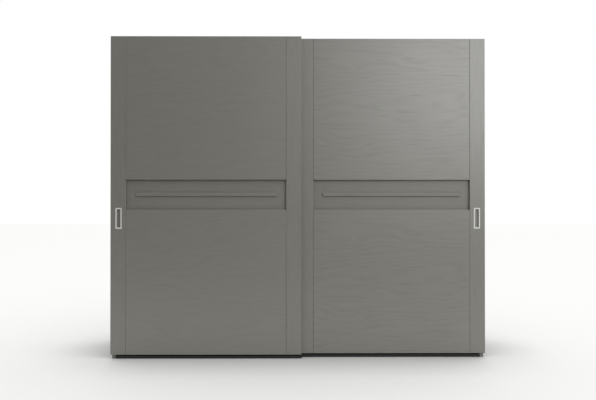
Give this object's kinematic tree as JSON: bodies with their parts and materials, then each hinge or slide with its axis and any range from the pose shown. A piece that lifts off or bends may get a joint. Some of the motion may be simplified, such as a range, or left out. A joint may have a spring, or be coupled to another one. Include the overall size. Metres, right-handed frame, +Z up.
{
  "type": "sliding door wardrobe",
  "caption": "Wide wardrobe with overlapping sliding doors on a top track, each door with a recessed band, a batten and a flush finger pull, over shelf and hanging bays.",
  "frame": {"origin": "under the middle of the wardrobe, on the floor", "axes": "+Z up, +X to the right of someone facing the doors, -Y out of the doors"},
  "size_m": [2.8, 0.68, 2.4],
  "materials": {
    "door_lacquer": "satin",
    "carcass_lacquer": "satin",
    "back_board": "matte",
    "black_plinth": "matte",
    "pull_metal": "satin",
    "track_aluminium": "satin",
    "zinc_steel": "satin",
    "rail_chrome": "polished",
    "black_plastic": "matte",
    "white_nylon": "satin",
    "buffer_rubber": "matte",
    "seal_pile": "matte"
  },
  "bodies": {
    "carcass": {"left_side_panel": "carcass_lacquer", "right_side_panel": "carcass_lacquer", "top_panel": "carcass_lacquer", "base_panel": "carcass_lacquer", "centre_partition": "carcass_lacquer", "left_back_panel": "back_board", "right_back_panel": "back_board", "left_top_shelf": "carcass_lacquer", "right_top_shelf": "carcass_lacquer", "front_plinth": "black_plinth", "rear_plinth": "black_plinth", "front_feet": "carcass_lacquer", "kick_strip": "black_plinth", "shelf_pins": "zinc_steel", "cam_fittings": "zinc_steel", "left_hanging_rail": "rail_chrome", "right_hanging_rail": "rail_chrome", "rail_end_sockets": "zinc_steel", "levelling_feet": "black_plastic", "levelling_sockets": "black_plastic", "wall_brackets": "zinc_steel", "carcass_screws": "zinc_steel", "top_track": "track_aluminium", "bottom_guide_track": "track_aluminium", "track_screws": "zinc_steel", "track_stop_buffers": "buffer_rubber"},
    "outer_door": {"outer_left_stile": "door_lacquer", "outer_right_stile": "door_lacquer", "outer_lower_panel": "door_lacquer", "outer_upper_panel": "door_lacquer", "outer_recess_panel": "door_lacquer", "outer_batten": "door_lacquer", "outer_finger_pull": "pull_metal", "outer_hangers": "zinc_steel", "outer_wheel_axles": "zinc_steel", "outer_guide_brackets": "zinc_steel", "outer_guide_shoes": "white_nylon", "outer_door_screws": "zinc_steel", "outer_brush_seal": "seal_pile"},
    "outer_left_wheel_a": {"outer_left_wheel_a": "white_nylon"},
    "outer_left_wheel_b": {"outer_left_wheel_b": "white_nylon"},
    "outer_right_wheel_a": {"outer_right_wheel_a": "white_nylon"},
    "outer_right_wheel_b": {"outer_right_wheel_b": "white_nylon"},
    "inner_door": {"inner_left_stile": "door_lacquer", "inner_right_stile": "door_lacquer", "inner_lower_panel": "door_lacquer", "inner_upper_panel": "door_lacquer", "inner_recess_panel": "door_lacquer", "inner_batten": "door_lacquer", "inner_finger_pull": "pull_metal", "inner_hangers": "zinc_steel", "inner_wheel_axles": "zinc_steel", "inner_guide_brackets": "zinc_steel", "inner_guide_shoes": "white_nylon", "inner_door_screws": "zinc_steel", "inner_brush_seal": "seal_pile"},
    "inner_left_wheel_a": {"inner_left_wheel_a": "white_nylon"},
    "inner_left_wheel_b": {"inner_left_wheel_b": "white_nylon"},
    "inner_right_wheel_a": {"inner_right_wheel_a": "white_nylon"},
    "inner_right_wheel_b": {"inner_right_wheel_b": "white_nylon"}
  },
  "joints": [
    {"name": "outer_door_slide", "type": "slide", "parent": "carcass", "child": "outer_door", "axis": [1, 0, 0], "range_m": [0, 1.38]},
    {"name": "inner_door_slide", "type": "slide", "parent": "carcass", "child": "inner_door", "axis": [1, 0, 0], "range_m": [-1.396, 0]},
    {"name": "outer_left_wheel_a_spin", "type": "hinge", "parent": "outer_door", "child": "outer_left_wheel_a", "pos_m": [-1.356, -0.1936, 2.3733], "axis": [0, 1, 0], "continuous": true},
    {"name": "outer_left_wheel_b_spin", "type": "hinge", "parent": "outer_door", "child": "outer_left_wheel_b", "pos_m": [-1.304, -0.1936, 2.3733], "axis": [0, 1, 0], "continuous": true},
    {"name": "outer_right_wheel_a_spin", "type": "hinge", "parent": "outer_door", "child": "outer_right_wheel_a", "pos_m": [-0.076, -0.1936, 2.3733], "axis": [0, 1, 0], "continuous": true},
    {"name": "outer_right_wheel_b_spin", "type": "hinge", "parent": "outer_door", "child": "outer_right_wheel_b", "pos_m": [-0.024, -0.1936, 2.3733], "axis": [0, 1, 0], "continuous": true},
    {"name": "inner_left_wheel_a_spin", "type": "hinge", "parent": "inner_door", "child": "inner_left_wheel_a", "pos_m": [0.04, -0.2316, 2.3733], "axis": [0, 1, 0], "continuous": true},
    {"name": "inner_left_wheel_b_spin", "type": "hinge", "parent": "inner_door", "child": "inner_left_wheel_b", "pos_m": [0.092, -0.2316, 2.3733], "axis": [0, 1, 0], "continuous": true},
    {"name": "inner_right_wheel_a_spin", "type": "hinge", "parent": "inner_door", "child": "inner_right_wheel_a", "pos_m": [1.304, -0.2316, 2.3733], "axis": [0, 1, 0], "continuous": true},
    {"name": "inner_right_wheel_b_spin", "type": "hinge", "parent": "inner_door", "child": "inner_right_wheel_b", "pos_m": [1.356, -0.2316, 2.3733], "axis": [0, 1, 0], "continuous": true}
  ],
  "couplings": [
    {"joint": "outer_left_wheel_a_spin", "follows": "outer_door_slide", "rad_per_m": 83.333},
    {"joint": "outer_left_wheel_b_spin", "follows": "outer_door_slide", "rad_per_m": 83.333},
    {"joint": "outer_right_wheel_a_spin", "follows": "outer_door_slide", "rad_per_m": 83.333},
    {"joint": "outer_right_wheel_b_spin", "follows": "outer_door_slide", "rad_per_m": 83.333},
    {"joint": "inner_left_wheel_a_spin", "follows": "inner_door_slide", "rad_per_m": 83.333},
    {"joint": "inner_left_wheel_b_spin", "follows": "inner_door_slide", "rad_per_m": 83.333},
    {"joint": "inner_right_wheel_a_spin", "follows": "inner_door_slide", "rad_per_m": 83.333},
    {"joint": "inner_right_wheel_b_spin", "follows": "inner_door_slide", "rad_per_m": 83.333}
  ]
}
